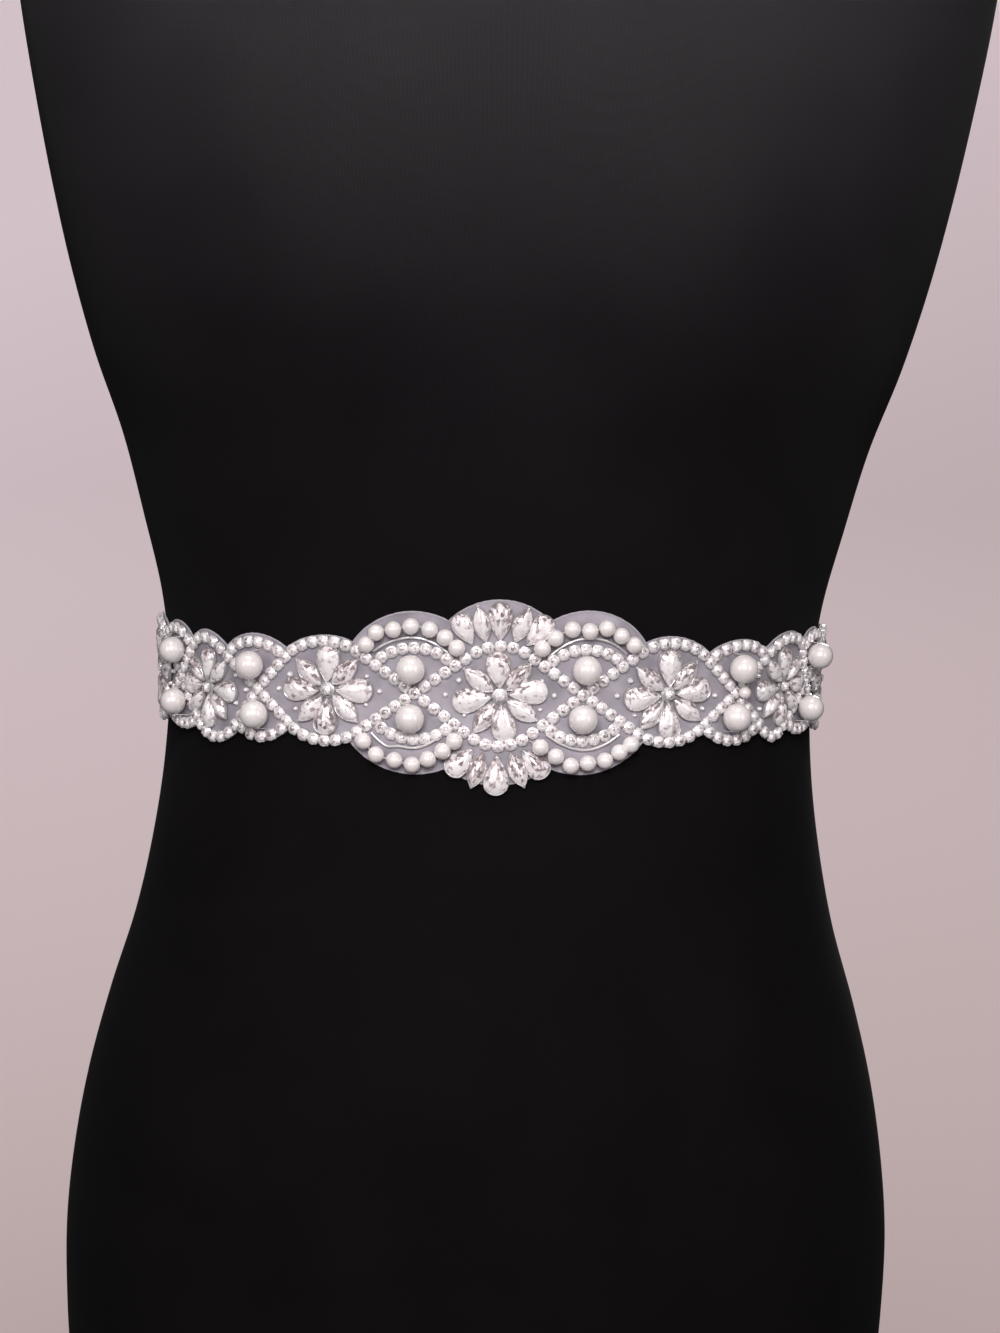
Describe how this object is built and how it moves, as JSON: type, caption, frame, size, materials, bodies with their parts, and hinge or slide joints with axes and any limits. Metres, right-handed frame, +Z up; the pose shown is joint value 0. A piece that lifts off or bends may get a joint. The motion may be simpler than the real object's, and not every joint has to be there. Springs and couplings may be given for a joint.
{
  "type": "bridal sash on a limbless dress form",
  "caption": "Beaded bridal sash: scalloped organza backing with crystal flowers, rhinestone chain and pearls, tied with satin ribbon round a limbless black dress form.",
  "frame": {"origin": "middle of the form's flat base", "axes": "+Z up, the front faces -Y, +X to the viewer's right"},
  "size_m": [0.368, 0.2602, 0.725],
  "materials": {
    "black_jersey": "matt black stretch jersey",
    "organza": "sheer pale organza",
    "rhinestone_chain": "clear rhinestones in silver cups",
    "crystal": "foil-backed faceted crystal",
    "pearl": "ivory pearl lustre",
    "silver_wire": "polished silver wire",
    "ivory_satin": "ivory satin"
  },
  "bodies": {
    "root": {"form": "black_jersey", "backing": "organza", "chain_lattice": "rhinestone_chain", "flower_centre": "crystal", "flower_left_1": "crystal", "flower_left_2": "crystal", "flower_left_3": "crystal", "flower_right_1": "crystal", "flower_right_2": "crystal", "flower_right_3": "crystal", "fan_top": "crystal", "fan_bottom": "crystal", "pearl_left_1_top": "pearl", "pearl_left_1_bottom": "pearl", "pearl_right_1_top": "pearl", "pearl_right_1_bottom": "pearl", "pearl_left_2_top": "pearl", "pearl_left_2_bottom": "pearl", "pearl_right_2_top": "pearl", "pearl_right_2_bottom": "pearl", "pearl_left_3_top": "pearl", "pearl_left_3_bottom": "pearl", "pearl_right_3_top": "pearl", "pearl_right_3_bottom": "pearl", "pearl_row_left_top": "pearl", "wire_left_top": "silver_wire", "pearl_row_left_bottom": "pearl", "wire_left_bottom": "silver_wire", "pearl_row_right_top": "pearl", "wire_right_top": "silver_wire", "pearl_row_right_bottom": "pearl", "wire_right_bottom": "silver_wire", "ribbon_left": "ivory_satin", "ribbon_right": "ivory_satin", "knot": "ivory_satin", "tail_left": "ivory_satin", "tail_right": "ivory_satin"}
  },
  "joints": []
}
